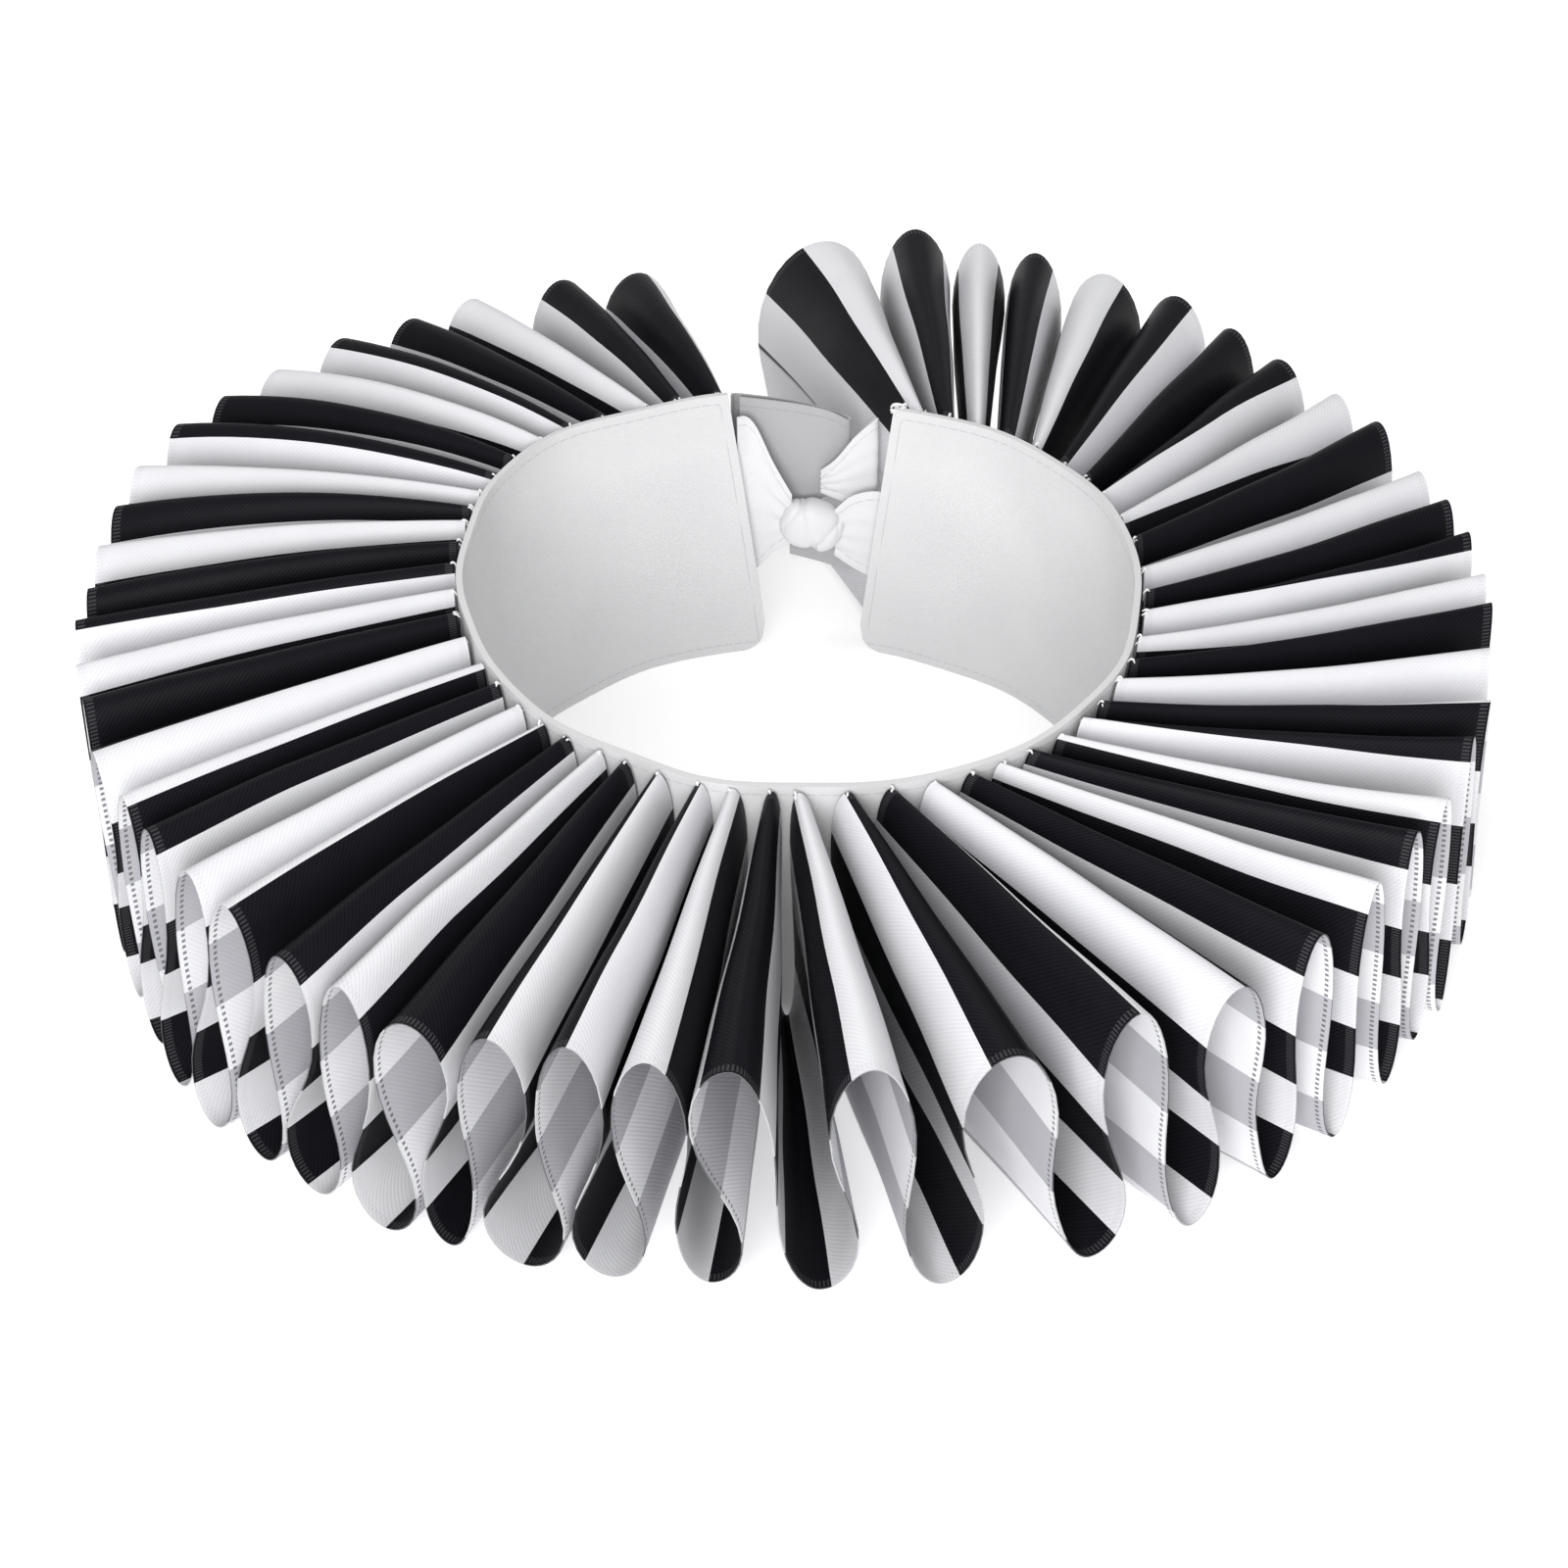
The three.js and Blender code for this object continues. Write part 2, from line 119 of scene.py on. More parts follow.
# Each row is one ridge of the ruffle, from the left of the back gap round the front: its
# angle at the band, its angle and radius at the free edge, how much higher than
# RIDGE_AT_EDGE its tip is, how high its crest line bows and the half width of its lobe at
# the free edge. Then come, for the valley after it, how far it lies past the middle of the
# two ridges, the radius that it reaches and its own half width. The last two are the place
# of the crest in the stripes at its tip and at the band: 0 to 0.5 is black and 0.5 to 1
# white. Angles, widths and the valley's shift are in degrees, the rest in mm.
RIDGE_COLUMNS = ("inner", "outer", "reach", "lift", "bow", "lobe",
                 "valley", "foot", "loop", "phase", "phase_in")
RIDGE_ROWS = [
    (-167.2, -164.5, 120, 1, 2.5, 3.9, 0, 120, 3, 0.08, 0.08),
    (-160, -157.4, 124, 0, 1.3, 3.5, 0, 123, 3.2, 0.3, 0.3),
    (-154.3, -148.7, 127, -1, 1.3, 3.2, 0, 124, 3.2, 0.75, 0.75),
    (-146.5, -142.3, 127, -1, 1.3, 3.2, 0, 127, 3.2, 0.25, 0.25),
    (-140.3, -135, 128.7, 0, 3, 3.2, 0, 128.5, 3.2, 0.4, 0.4),
    (-134.1, -127.5, 129.5, 0, 3.5, 3.2, 0, 128.5, 3.2, 0.75, 0.75),
    (-127.3, -121, 130, 1.3, 4, 3.2, 0, 130, 3.2, 0.25, 0.25),
    (-121.7, -115.5, 132.4, 1, 3.5, 3.2, 0, 130, 3.2, 0.4, 0.4),
    (-115.8, -108.5, 132, 1, 2, 3.2, 0, 130, 3.2, 0.75, 0.75),
    (-111.2, -103, 131, 0, 3, 3, 0, 129, 3, 0.25, 0.25),
    (-107, -97, 130, 0, 1.5, 3, 0, 128.5, 3, 0.75, 0.75),
    (-100.5, -91, 129, 0, 1.8, 3, 0, 128.5, 3, 0.25, 0.25),
    (-94.3, -86.5, 130, 0, 0.8, 3, 0, 128.5, 3, 0.44, 0.38),
    (-86.3, -80.3, 129.5, 0, 0.8, 3, 0, 128.5, 3, 0.8, 0.8),
    (-79.2, -75.5, 129, 0, 0.8, 3, 0, 128.5, 3, 0.15, 0.15),
    (-72, -68.5, 130, 0, 0.8, 3, -0.6, 129, 3, 0.52, 0.52),
    (-63.6, -62.3, 129, 0, 0.8, 2.9, 0, 130, 2.9, 0.93, 0.93),
    (-57.5, -57.5, 129, 0, 0.8, 2.7, 0, 132, 2.8, 0.34, 0.34),
    (-50.2, -51.3, 129, 0, 0.8, 2.4, -0.3, 133, 3, 0.64, 0.64),
    (-43.8, -45.7, 130, 1, 0.8, 2.7, -0.9, 132, 3, 0.98, 0.98),
    (-38.8, -39, 132, 0, 0.6, 2.6, -1.1, 132, 2.9, 0.29, 0.29),
    (-32.1, -33.9, 131, -1, 0.5, 2.6, 0.1, 132.3, 3.6, 0.76, 0.76),
    (-27.3, -28.4, 130, -4.3, 0.4, 3.6, -0.75, 130.5, 2.6, 0.19, 0.19),
    (-21.2, -21.9, 130, -1.8, 0.4, 2.7, -0.9, 130, 3.2, 0.5, 0.5),
    (-14.1, -16.1, 129, -0.6, 0.4, 2.5, -0.4, 128.5, 2.8, 0.5, 0.5),
    (-9.1, -10.2, 130, -0.3, 0.4, 2.9, 1.1, 127, 2.4, 0.87, 0.87),
    (-3, -4.3, 131, 0, 0.4, 3.1, 1.3, 128, 2.8, 0.22, 0.22),
    (0.9, 5.7, 129, -1.4, 0.3, 3.1, 0.4, 129, 2.8, 0.64, 0.64),
    (8.3, 15.7, 129, -2.3, 0.2, 3.6, 1.8, 130, 2.7, 0.14, 0.06),
    (14.7, 25.4, 129, 0, 0, 2.7, 0.9, 131, 2.3, 0.5, 0.44),
    (21.3, 34.1, 129, -2.9, 0, 2.9, 0.85, 130, 1.9, 0.97, 0.92),
    (27.2, 42.1, 129, -1, -0.3, 2, 0.1, 130, 1.9, 0.3, 0.26),
    (32.2, 49.4, 128, 0, -0.6, 1.8, 0.5, 129, 1.8, 0.72, 0.7),
    (38, 56.5, 126.3, 0, -1, 1.8, 0.5, 128, 1.8, 0.27, 0.18),
    (43.8, 61.5, 127, 0, -1.2, 1.8, -2, 129, 1.8, 0.66, 0.56),
    (49.4, 70, 126, 0, -1.2, 2, 0, 128, 2, 0.17, 0.99),
    (54.5, 75.3, 127, 0, -1.2, 2, 0, 128, 2, 0.51, 0.44),
    (61, 82.5, 126, 0, -1.2, 2.2, 0, 127, 2.2, 0.92, 0.93),
    (66.4, 89, 127.3, 0, -1.2, 2.1, 0, 127, 2.1, 0.41, 0.38),
    (72.7, 93.2, 127.5, 0, -1.2, 2, 0, 127, 2, 0.85, 0.66),
    (80.4, 98.8, 127.5, 1, -1.2, 2.2, 0, 127, 2.2, 0.12, 0.96),
    (86, 103.6, 127, 1.3, -1, 2.7, 0, 127, 2.4, 0.4, 0.36),
    (92.5, 109.1, 127, 0, -0.8, 3, 0, 127, 2.8, 0.9, 0.9),
    (101.5, 117, 128, 0.8, -0.5, 2.9, 0, 128, 2.8, 0.36, 0.36),
    (108.4, 123, 128, 0, -0.2, 2.8, 0, 128, 2.8, 0.85, 0.62),
    (115.8, 130.2, 128, 0, 0, 3.3, 0, 128, 3, 0.14, 0.99),
    (121.2, 136.8, 130, 0, 0.2, 3.1, 0, 130, 3.1, 0.4, 0.34),
    (127.3, 143.4, 132, 1, 0.4, 3.6, 0, 131, 3.4, 0.12, 0.12),
    (133.5, 150.6, 132, 1, 0.6, 3.9, 0, 131, 3.2, 0.62, 0.62),
    (139.8, 157.5, 132, 2, 0.8, 3.1, 0, 131, 2.8, 0.17, 0.17),
    (145.5, 162.8, 132, 2, 0.8, 2.9, 0, 131, 2.7, 0.7, 0.7),
    (151.5, 168.7, 131, 4, 0.8, 3.8, 0, 130, 3.2, 0.27, 0.27),
    (156.4, 176.8, 129, 1, 0.8, 4.2, 0, 128, 4, 0.81, 0.81),
]

# Where the next ridge would be past either end: the ribbon stops halfway there, and its
# right end hangs with a belly
LEFT_TURN = (-172.5, -172.5, 122, 0, 1.3, 3, 0, 121, 3, 0.58, 0.58)
RIGHT_TURN = (167.6, 191.5, 128, 0, 0.8, 4, 0, 128, 4, 0.31, 0.31)

# The hem of the ribbon's right end: its place past the last ridge at the band and the edge
END_HEM = {"band": 0.205, "edge": 0.221, "half_width": 0.004}

# Camera: distance and elevation from the ring's centre, and the photograph's framing
PHOTO_PIXELS = 1600
FOCAL_PIXELS = 4020
CENTRE_PIXEL = (809, 835)
SENSOR = 36.0
CAMERA_DISTANCE = 0.75
CAMERA_ELEVATION = math.radians(37.8)
CAMERA_CLIP_START = 0.05


def mix(a, b, share):
    return a + (b - a) * share


# Node trees

class Shader:
    """A material's node tree, with short calls for the nodes that the cloths share."""

    def __init__(self, name):
        self.material = bpy.data.materials.new(name)
        self.material.use_nodes = True
        self.tree = self.material.node_tree
        self.principled = self.tree.nodes["Principled BSDF"]

    def node(self, kind, inputs=(), **settings):
        node = self.tree.nodes.new(kind)
        for name, value in settings.items():
            setattr(node, name, value)
        for place, value in inputs:
            self.connect(value, node.inputs[place])
        return node

    def connect(self, value, socket):
        if isinstance(value, bpy.types.NodeSocket):
            self.tree.links.new(value, socket)
        else:
            socket.default_value = value

    def math(self, operation, *values):
        node = self.node("ShaderNodeMath", enumerate(values), operation=operation)
        return node.outputs[0]

    def mix_colour(self, share, first, second):
        inputs = ((0, share), (6, first), (7, second))
        node = self.node("ShaderNodeMix", inputs, data_type="RGBA")
        return node.outputs[2]

    def uv(self, layer):
        node = self.node("ShaderNodeUVMap", uv_map=layer)
        split = self.node("ShaderNodeSeparateXYZ", ((0, node.outputs[0]),))
        return split.outputs[0], split.outputs[1]

    def stretched(self, first, second, first_scale, second_scale):
        x = self.math("MULTIPLY", first, first_scale)
        y = self.math("MULTIPLY", second, second_scale)
        return self.node("ShaderNodeCombineXYZ", ((0, x), (1, y))).outputs[0]

    def noise(self, scale, detail=2.0, vector=None):
        if vector is None:
            vector = self.node("ShaderNodeTexCoord").outputs["Object"]
        inputs = (("Vector", vector), ("Scale", scale), ("Detail", detail))
        return self.node("ShaderNodeTexNoise", inputs).outputs["Fac"]

    def bump(self, height, strength, distance, normal=None):
        inputs = [("Height", height), ("Strength", strength), ("Distance", distance)]
        if normal is not None:
            inputs.append(("Normal", normal))
        return self.node("ShaderNodeBump", inputs).outputs[0]


BLACK_YARN = (0.0038, 0.0038, 0.0055, 1)
BLACK_YARN_WORN = (0.0068, 0.0068, 0.0095, 1)
# Painted sheen on the twill's ridges over the face's black
BLACK_RIDGE_PAINTED_SHEEN = (0.017, 0.017, 0.021, 1)
WHITE_YARN = (0.765, 0.765, 0.785, 1)
WHITE_YARN_SHADE = (0.7, 0.7, 0.73, 1)
REVERSE_WHITE = (0.82, 0.82, 0.83, 1)
SHOWN_THROUGH = (0.385, 0.385, 0.415, 1)
SHOWN_THROUGH_LIGHT = (0.455, 0.455, 0.48, 1)
# Painted shade in the twill's furrows over the white
FURROW_PAINTED_SHADE = (0.45, 0.45, 0.48, 1)
DOT_SHADE = (0.1, 0.1, 0.11, 1)
STITCH_SHADE = (0.3, 0.3, 0.32, 1)
RIM_SHADE = (0.16, 0.16, 0.17, 1)
THREAD_WHITE = (0.86, 0.86, 0.86, 1)
THREAD_SHADE = (0.7, 0.7, 0.7, 1)

# Ribbon: the twill's step, how much painted sheen the twill's ridges put on the black, how
# much of their shades the outermost rim and the end's hem take, and the satin's fine streaks
TWILL_STEP = 0.95 * MM
BLACK_RIDGE_SHEEN_SHARE = 0.18
RIM_WIDTH = 0.02 * MM
RIM_SHARE = 0.6
END_HEM_SHARE = 0.3
STREAK = {"width": 0.35 * MM, "length": 6 * MM}
SPECULAR = {"white": 0.3, "black": 0.05}

# The ribbon's two sides. Its white and its black each have a second colour that clouds
# them, and its furrow share is how much painted shade the twill's furrows put on its white.
# Threads are those that cross the selvedge, from and to two distances from the edge
RIBBON_SIDES = {
    "face": {
        "white": (WHITE_YARN, WHITE_YARN_SHADE),
        "black": (BLACK_YARN, BLACK_YARN_WORN),
        "painted_furrow_shade_share": 0.1,
        "threads": {"from": 0.4 * MM, "to": 1.8 * MM, "step": 0.6 * MM, "share": 0.5},
        "thread_shade": STITCH_SHADE,
        "thread_share": 0.12,
        "roughness": 0.45,
    },
    "reverse": {
        "white": (REVERSE_WHITE, WHITE_YARN_SHADE),
        "black": (SHOWN_THROUGH, SHOWN_THROUGH_LIGHT),
        "painted_furrow_shade_share": 0.07,
        "threads": {"from": 0.8 * MM, "to": 1.5 * MM, "step": 1.15 * MM, "share": 0.48},
        "thread_shade": DOT_SHADE,
        "thread_share": 0.85,
        "roughness": 0.6,
    },
}

# Plain white cloths: a colour and the one that clouds it, and the weave's step and strength.
# The last is the tie's white satin darkened with painted shade, for the bow's parts in shade
PLAIN_CLOTHS = {
    "band_cotton": {
        "light": (0.68, 0.68, 0.685, 1), "shade": (0.6, 0.6, 0.61, 1),
        "roughness": 0.85, "weave_step": 0.6 * MM, "weave": 0.3,
    },
    "tie_satin": {
        "light": (0.74, 0.74, 0.75, 1), "shade": (0.68, 0.68, 0.7, 1),
        "roughness": 0.45, "weave_step": 0.7 * MM, "weave": 0.2,
    },
    # The tie's white satin with painted shade, for the bow's left loop and its tail
    "tie_satin_painted_shade": {
        "light": (0.44, 0.44, 0.445, 1), "shade": (0.39, 0.39, 0.4, 1),
        "roughness": 0.5, "weave_step": 0.7 * MM, "weave": 0.2,
    },
}

# A plain cloth's hem: its width, and its row of stitches with half the width of its line
HEM = {"width": 1.8 * MM, "half_line": 0.14 * MM, "step": 2.2 * MM, "share": 0.7,
       "shade_share": 0.25}


def stitch_row(shader, row, along, from_edge):
    """One where short threads cross the selvedge in a row, and zero elsewhere."""
    past = shader.math("GREATER_THAN", from_edge, row["from"])
    before = shader.math("LESS_THAN", from_edge, row["to"])
    beat = shader.math("FRACT", shader.math("DIVIDE", along, row["step"]))
    in_beat = shader.math("LESS_THAN", beat, row["share"])
    return shader.math("MULTIPLY", shader.math("MULTIPLY", past, before), in_beat)


def ribbon_material(name, side_name):
    """Satin with stripes across it. On its reverse the black shows through."""
    side = RIBBON_SIDES[side_name]
    is_face = side_name == "face"
    shader = Shader(name)
    cycles, across = shader.uv("cloth")
    place, _ = shader.uv("folds")
    along = shader.math("MULTIPLY", cycles, STRIPE_PERIOD)
    out = shader.math("MULTIPLY", across, RIBBON_WIDTH)

    # Past the hem near the ribbon's right end, its turned edge is white
    slant = shader.math("MULTIPLY", across, END_HEM["edge"] - END_HEM["band"])
    hem_place = shader.math("ADD", len(RIDGE_ROWS) - 1 + END_HEM["band"], slant)
    past_hem = shader.math("SUBTRACT", place, hem_place)
    striped = shader.math("LESS_THAN", past_hem, 0.0)
    in_black = shader.math("LESS_THAN", shader.math("FRACT", cycles), 0.5)
    stripe = shader.math("MULTIPLY", in_black, striped)
    cloud = shader.noise(90.0, detail=3.0)
    white = shader.mix_colour(cloud, *side["white"])
    black = shader.mix_colour(cloud, *side["black"])

    # The weave is a fine diagonal twill with thicker weft yarns. Its furrows take painted shade
    # on the white, and its ridges a painted sheen on the face's black
    diagonal = shader.math("SUBTRACT", along, out)
    twill = shader.math("SINE", shader.math("MULTIPLY", diagonal, 2 * math.pi / TWILL_STEP))
    furrow_depth = shader.math("SUBTRACT", 1.0, twill)
    furrow_painted_shade = shader.math("MULTIPLY", furrow_depth, side["painted_furrow_shade_share"])
    white = shader.mix_colour(furrow_painted_shade, white, FURROW_PAINTED_SHADE)
    if is_face:
        ridge_height = shader.math("ADD", 1.0, twill)
        ridge_painted_sheen = shader.math("MULTIPLY", ridge_height, BLACK_RIDGE_SHEEN_SHARE)
        black = shader.mix_colour(ridge_painted_sheen, black, BLACK_RIDGE_PAINTED_SHEEN)
    colour = shader.mix_colour(stripe, white, black)

    # Short threads cross each selvedge, and on the reverse only their tips show
    from_edge = shader.math("MINIMUM", out, shader.math("SUBTRACT", RIBBON_WIDTH, out))
    stitch = stitch_row(shader, side["threads"], along, from_edge)
    stitch_share = shader.math("MULTIPLY", stitch, side["thread_share"])
    colour = shader.mix_colour(stitch_share, colour, side["thread_shade"])
    on_rim = shader.math("LESS_THAN", from_edge, RIM_WIDTH)
    colour = shader.mix_colour(shader.math("MULTIPLY", on_rim, RIM_SHARE), colour, RIM_SHADE)

    # The hem near the ribbon's right end
    hem = shader.math("LESS_THAN", shader.math("ABSOLUTE", past_hem), END_HEM["half_width"])
    hem_share = shader.math("MULTIPLY", hem, END_HEM_SHARE)
    colour = shader.mix_colour(hem_share, colour, STITCH_SHADE)
    shader.connect(colour, shader.principled.inputs["Base Color"])

    drawn_out = shader.stretched(along, out, 1 / STREAK["width"], 1 / STREAK["length"])
    streaks = shader.noise(1.0, vector=drawn_out)
    relief = shader.math("ADD", shader.math("MULTIPLY", twill, 0.6), streaks)
    relief = shader.math("ADD", relief, shader.math("MULTIPLY", stitch, 1.2))
    crumple = shader.bump(shader.noise(55.0), strength=0.35, distance=0.6 * MM)
    normal = shader.bump(relief, strength=0.32, distance=0.05 * MM, normal=crumple)
    shader.connect(normal, shader.principled.inputs["Normal"])
    shader.principled.inputs["Roughness"].default_value = side["roughness"]

    # On the face the black reflects less than the white
    specular = SPECULAR["white"]
    if is_face:
        less = shader.math("MULTIPLY", stripe, SPECULAR["black"] - SPECULAR["white"])
        specular = shader.math("ADD", SPECULAR["white"], less)
    shader.connect(specular, shader.principled.inputs["Specular IOR Level"])
    return shader.material


def plain_cloth_material(name):
    """A cloth of PLAIN_CLOTHS, with a stitched hem along its edges. Its UV maps are in
    metres: along and across it, and its distances from two edges."""
    cloth = PLAIN_CLOTHS[name]
    shader = Shader(name)
    along, out = shader.uv("cloth")
    from_low, from_high = shader.uv("edges")
    cloud = shader.noise(60.0, detail=3.0)
    colour = shader.mix_colour(cloud, cloth["light"], cloth["shade"])

    from_edge = shader.math("MINIMUM", from_low, from_high)
    in_hem = shader.math("LESS_THAN", from_edge, HEM["width"])
    off_line = shader.math("ABSOLUTE", shader.math("SUBTRACT", from_edge, HEM["width"]))
    on_line = shader.math("LESS_THAN", off_line, HEM["half_line"])
    beat = shader.math("FRACT", shader.math("DIVIDE", along, HEM["step"]))
    in_beat = shader.math("LESS_THAN", beat, HEM["share"])
    stitch = shader.math("MULTIPLY", on_line, in_beat)
    stitch_share = shader.math("MULTIPLY", stitch, HEM["shade_share"])
    colour = shader.mix_colour(stitch_share, colour, STITCH_SHADE)
    shader.connect(colour, shader.principled.inputs["Base Color"])

    turn = 2 * math.pi / cloth["weave_step"]
    warp = shader.math("SINE", shader.math("MULTIPLY", along, turn))
    weft = shader.math("SINE", shader.math("MULTIPLY", out, turn))
    relief = shader.math("ADD", shader.math("MULTIPLY", warp, weft), shader.noise(380.0))
    crumple = shader.bump(shader.noise(48.0, detail=3.0), strength=0.5, distance=0.7 * MM)
    hemmed = shader.bump(in_hem, strength=0.8, distance=0.25 * MM, normal=crumple)
    normal = shader.bump(relief, strength=cloth["weave"], distance=0.05 * MM, normal=hemmed)
    shader.connect(normal, shader.principled.inputs["Normal"])
    shader.principled.inputs["Roughness"].default_value = cloth["roughness"]
    shader.principled.inputs["Specular IOR Level"].default_value = 0.3
    return shader.material


def thread_material(name):
    shader = Shader(name)
    colour = shader.mix_colour(shader.noise(900.0), THREAD_WHITE, THREAD_SHADE)
    shader.connect(colour, shader.principled.inputs["Base Color"])
    shader.principled.inputs["Roughness"].default_value = 0.7
    return shader.material


# Closed meshes: cloth as a thin wall over a grid of points, and tubes. Faces that meet at
# more than SHARP_ANGLE degrees have a sharp edge between them
SHARP_ANGLE = 55


def unit(vectors):
    return vectors / np.maximum(np.linalg.norm(vectors, axis=-1, keepdims=True), 1e-12)


def grid_normals(points):
    along = np.gradient(points, axis=0)
    across = np.gradient(points, axis=1)
    return unit(np.cross(along, across))


def new_piece(name, vertices, faces, materials, face_materials=None, uvs=()):
    """uvs gives each UV layer's name and its coordinates, one pair to each vertex."""
    mesh = bpy.data.meshes.new(name)
    mesh.from_pydata(vertices.tolist(), [], faces)
    for material in materials:
        mesh.materials.append(material)
    mesh.polygons.foreach_set("use_smooth", [True] * len(mesh.polygons))
    if face_materials is not None:
        mesh.polygons.foreach_set("material_index", face_materials)
    corner_vertices = np.zeros(len(mesh.loops), dtype=np.int32)
    mesh.loops.foreach_get("vertex_index", corner_vertices)
    for layer_name, coordinates in dict(uvs).items():
        layer = mesh.uv_layers.new(name=layer_name)
        layer.uv.foreach_set("vector", coordinates[corner_vertices].astype(np.float32).ravel())
    mesh.validate()
    mesh.set_sharp_from_angle(angle=math.radians(SHARP_ANGLE))
    piece = bpy.data.objects.new(name, mesh)
    bpy.context.scene.collection.objects.link(piece)
    return piece


def tube_faces(rings, sides):
    """Faces of a closed tube whose vertices are rings of so many sides, one after another."""
    index = np.arange(rings * sides).reshape(rings, sides)
    nearby = np.roll(index, -1, axis=1)
    quads = np.stack([index[:-1].ravel(), index[1:].ravel(),
                      nearby[1:].ravel(), nearby[:-1].ravel()], axis=1).tolist()
    return quads + [index[0].tolist(), index[-1][::-1].tolist()]


def cloth_wall(name, points, uvs, wall, materials):
    """points is a grid, along by across. Its first material is on the side that the cross
    product of along and across points away from, and its last on the other."""
    normals = grid_normals(points)
    rows, columns = points.shape[:2]
    front = (points - normals * wall / 2).reshape(-1, 3)
    back = (points + normals * wall / 2).reshape(-1, 3)
    index = np.arange(rows * columns).reshape(rows, columns)
    corners = (index[:-1, :-1], index[1:, :-1], index[1:, 1:], index[:-1, 1:])
    quads = np.stack([corner.ravel() for corner in corners], axis=1)
    other = rows * columns
    rim = np.concatenate([index[:, 0], index[-1, 1:], index[-2::-1, -1], index[0, -2:0:-1]])
    following = np.roll(rim, -1)
    rim_quads = np.stack([rim, rim + other, following + other, following], axis=1)
    faces = np.concatenate([quads[:, ::-1], quads + other, rim_quads[:, ::-1]])
    last = len(materials) - 1
    looks = [0] * len(quads) + [last] * len(quads) + [0] * len(rim_quads)
    both = {layer: np.concatenate([grid.reshape(-1, 2)] * 2) for layer, grid in uvs.items()}
    vertices = np.concatenate([front, back])
    return new_piece(name, vertices, faces.tolist(), materials, looks, both)


def seat(piece, slot, *nodes):
    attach(piece, "root")
    if nodes:
        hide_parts(*nodes)


# Neckband

def band_radius(angle, column):
    """The band's radius at an angle, along a smooth curve through its rows."""
    values = np.array(BAND_ROWS)[:, BAND_COLUMNS.index(column)] * MM
    step = BAND_ROWS[1][0] - BAND_ROWS[0][0]
    place = (np.asarray(angle, dtype=float) - BAND_ROWS[0][0]) / step
    return smooth_line(values, place)


def ring_point(angle, height, out=0.0):
    """Middle of the neckband's wall about the ring's own centre, moved outwards by out."""
    share = height / BAND_HEIGHT
    radius = mix(band_radius(angle, "foot"), band_radius(angle, "top"), share) + out
    turn = np.radians(angle)
    x = radius * np.sin(turn)
    y = -radius * np.cos(turn)
    return np.stack(np.broadcast_arrays(x, y, height), axis=-1)


def band_end(end, height):
    return mix(end["foot"], end["top"], height / BAND_HEIGHT)


def band_grid(points_round, points_up):
    """Angle and height at each point of the neckband, whose lower corners are round."""
    shares = np.linspace(0, 1, points_round), np.linspace(0, 1, points_up)
    along, up = np.meshgrid(*shares, indexing="ij")
    length = math.radians(BAND_RIGHT_END["foot"] - BAND_LEFT_END["foot"]) * BAND_MEAN_RADIUS
    to_end = np.minimum(along, 1 - along) * length
    in_corner = np.maximum(BAND_CORNER_RADIUS - to_end, 0)
    foot = BAND_CORNER_RADIUS - np.sqrt(BAND_CORNER_RADIUS ** 2 - in_corner ** 2)
    height = mix(foot, BAND_HEIGHT, up)
    angle = mix(band_end(BAND_LEFT_END, height), band_end(BAND_RIGHT_END, height), along)
    return angle, height


def smooth_line(points, places):
    """Points along a Catmull-Rom curve through the given ones, which are at 0, 1, 2 ..."""
    before, after = 2 * points[0] - points[1], 2 * points[-1] - points[-2]
    padded = np.concatenate([[before], points, [after]])
    places = np.clip(places, 0, len(points) - 1 - 1e-9)
    first = np.floor(places).astype(int)
    t = places - first
    t = t.reshape(t.shape + (1,) * (points.ndim - 1))
    a, b, c, d = (padded[first + step] for step in range(4))
    return 0.5 * (2 * b + (c - a) * t + (2 * a - 5 * b + 4 * c - d) * t ** 2
                  + (3 * b - a - 3 * c + d) * t ** 3)


def ring_centre():
    """The ring's centre in the frame, where its outline's box is that of the CAD neckband."""
    outline = ring_point(*band_grid(**BAND_OUTLINE_POINTS), BAND_WALL / 2).reshape(-1, 3)
    centre = (BAND_LOW + BAND_HIGH) / 2 - (outline.min(axis=0) + outline.max(axis=0)) / 2
    centre[2] = 0.0
    return centre


CENTRE = ring_centre()


def band_point(angle, height, out=0.0):
    return ring_point(angle, height, out) + CENTRE


def band_dents(angle, height):
    """How far the neckband's wall is pushed inwards by soft dents, all below zero."""
    turn = np.radians(angle)
    up = height / BAND_HEIGHT
    waves = np.sin(9 * turn + 3 * up + 0.6) + np.sin(14 * turn - 5 * up) * np.sin(4 * up + 1)
    return BAND_DENT * (waves / 2 - 1)


def make_neckband(material):
    angle, height = band_grid(**BAND_POINTS)
    points = band_point(angle, height, band_dents(angle, height))
    past_left = angle - band_end(BAND_LEFT_END, height)
    before_right = band_end(BAND_RIGHT_END, height) - angle
    from_end = np.radians(np.minimum(past_left, before_right)) * BAND_MEAN_RADIUS
    uvs = {
        "cloth": np.stack([np.radians(angle) * BAND_MEAN_RADIUS, height], axis=-1),
        "edges": np.stack([np.minimum(height, from_end),
                           np.minimum(BAND_HEIGHT - height, from_end)], axis=-1),
    }
    piece = cloth_wall("neckband_cloth", points, uvs, BAND_WALL, [material])
    seat(piece, "band_cotton", "neckband")


# Ruffle

def ruffle_columns():
    rows = np.array([LEFT_TURN, *RIDGE_ROWS, RIGHT_TURN], dtype=float)
    columns = {name: rows[:, place] for place, name in enumerate(RIDGE_COLUMNS)}
    for name in ("reach", "lift", "bow", "foot"):
        columns[name] = columns[name] * MM
    return columns


def swell(share, half_width):
    """How far a fold swells out on its way from a turn to the next valley or ridge. Share
    runs from 0 to 1 on the way, and half_width is that of the turn in shares of it."""
    size = np.maximum((half_width / 2 - SWELL_AT_REST) / WIDTH_PER_SWELL, 0)
    return 2 * size * np.sin(2 * np.pi * share)


